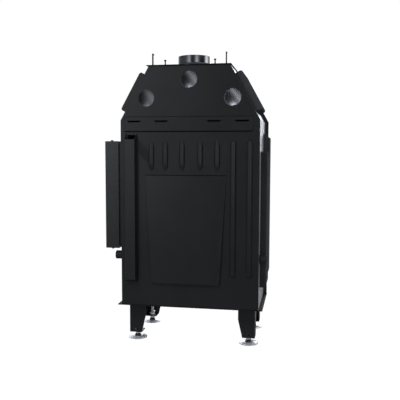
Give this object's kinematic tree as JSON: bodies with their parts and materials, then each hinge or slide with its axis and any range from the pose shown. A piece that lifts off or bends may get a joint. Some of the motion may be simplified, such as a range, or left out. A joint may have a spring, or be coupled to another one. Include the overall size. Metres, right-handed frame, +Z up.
{
  "type": "fireplace insert",
  "caption": "Black steel fireplace insert on levelling feet, with a sloped hood, rear louvres, outer air ducts, a front door and one glazed side.",
  "frame": {"origin": "on the floor, under the middle of the whole object's box", "axes": "+Z up, the back panel faces +Y, the door faces -Y, the glazed side faces +X"},
  "size_m": [0.762, 0.4972, 1.359],
  "materials": {
    "paint": "black heat-proof paint, satin",
    "dark_paint": "black heat-proof paint, matt",
    "zinc": "galvanised steel",
    "plug": "turned bright steel",
    "collar": "burnished dark steel",
    "steel": "raw rolled steel",
    "iron": "raw cast iron",
    "fireclay": "pressed fireclay, matt",
    "vermiculite": "pressed vermiculite, matt",
    "glass": "clear glass ceramic",
    "rope": "woven glass rope",
    "grip": "black heat-proof grip"
  },
  "bodies": {
    "casing": {"back_panel": "paint", "casing_wall_left": "paint", "casing_wall_right": "paint", "hood_side_left": "paint", "hood_side_right": "paint", "top_plate": "paint", "front_plate": "paint", "base_plate": "paint", "louvre_band": "paint", "rear_cover_plate": "paint", "cover_screws": "dark_paint", "back_air_duct": "paint", "side_air_duct": "paint", "side_shield": "paint", "hood_box_left": "paint", "hood_box_right": "paint", "lifting_hooks": "dark_paint", "top_studs": "dark_paint", "flue_collar": "collar", "outlet_plugs": "plug", "cross_tube": "zinc", "leg_rear_left": "paint", "leg_rear_right": "paint", "leg_front_left": "paint", "leg_front_right": "paint", "leg_nuts": "zinc", "firebox_shell": "dark_paint", "smoke_dome": "dark_paint", "rear_bricks": "fireclay", "side_brick": "fireclay", "sill_brick": "fireclay", "floor_bricks": "fireclay", "grate": "iron", "lower_baffle": "vermiculite", "upper_baffle": "steel", "log_guard": "iron", "ash_chamber": "dark_paint", "air_box": "dark_paint", "air_spigot": "zinc", "front_frame": "paint", "side_frame": "paint", "side_glass": "glass", "side_glass_trim": "dark_paint", "side_frame_bolts": "dark_paint", "hinge_brackets": "dark_paint", "hinge_pins": "zinc"},
    "door": {"door_frame": "paint", "door_glass": "glass", "glass_clips": "zinc", "door_seal": "rope"},
    "handle": {"handle_lever": "plug", "handle_grip": "grip", "latch_spindle": "zinc"},
    "ash_pan": {"ash_pan": "dark_paint"},
    "air_slider": {"air_slider": "zinc", "air_knob": "grip"},
    "foot_rear_left": {"foot_rear_left": "zinc"},
    "foot_rear_right": {"foot_rear_right": "zinc"},
    "foot_front_left": {"foot_front_left": "zinc"},
    "foot_front_right": {"foot_front_right": "zinc"}
  },
  "joints": [
    {"name": "door_hinge", "type": "hinge", "parent": "casing", "child": "door", "pos_m": [-0.322, -0.19835, 0.7], "axis": [0, 0, -1], "range_deg": [0, 110]},
    {"name": "handle_turn", "type": "hinge", "parent": "door", "child": "handle", "pos_m": [0.275, -0.20835, 0.7], "axis": [0, 1, 0], "range_deg": [0, 90]},
    {"name": "ash_pan_slide", "type": "slide", "parent": "casing", "child": "ash_pan", "axis": [0, -1, 0], "range_m": [0, 0.19]},
    {"name": "air_slide", "type": "slide", "parent": "casing", "child": "air_slider", "axis": [1, 0, 0], "range_m": [0, 0.025]},
    {"name": "foot_rear_left_screw", "type": "slide", "parent": "casing", "child": "foot_rear_left", "axis": [0, 0, -1], "range_m": [0, 0.025]},
    {"name": "foot_rear_right_screw", "type": "slide", "parent": "casing", "child": "foot_rear_right", "axis": [0, 0, -1], "range_m": [0, 0.025]},
    {"name": "foot_front_left_screw", "type": "slide", "parent": "casing", "child": "foot_front_left", "axis": [0, 0, -1], "range_m": [0, 0.025]},
    {"name": "foot_front_right_screw", "type": "slide", "parent": "casing", "child": "foot_front_right", "axis": [0, 0, -1], "range_m": [0, 0.025]}
  ]
}
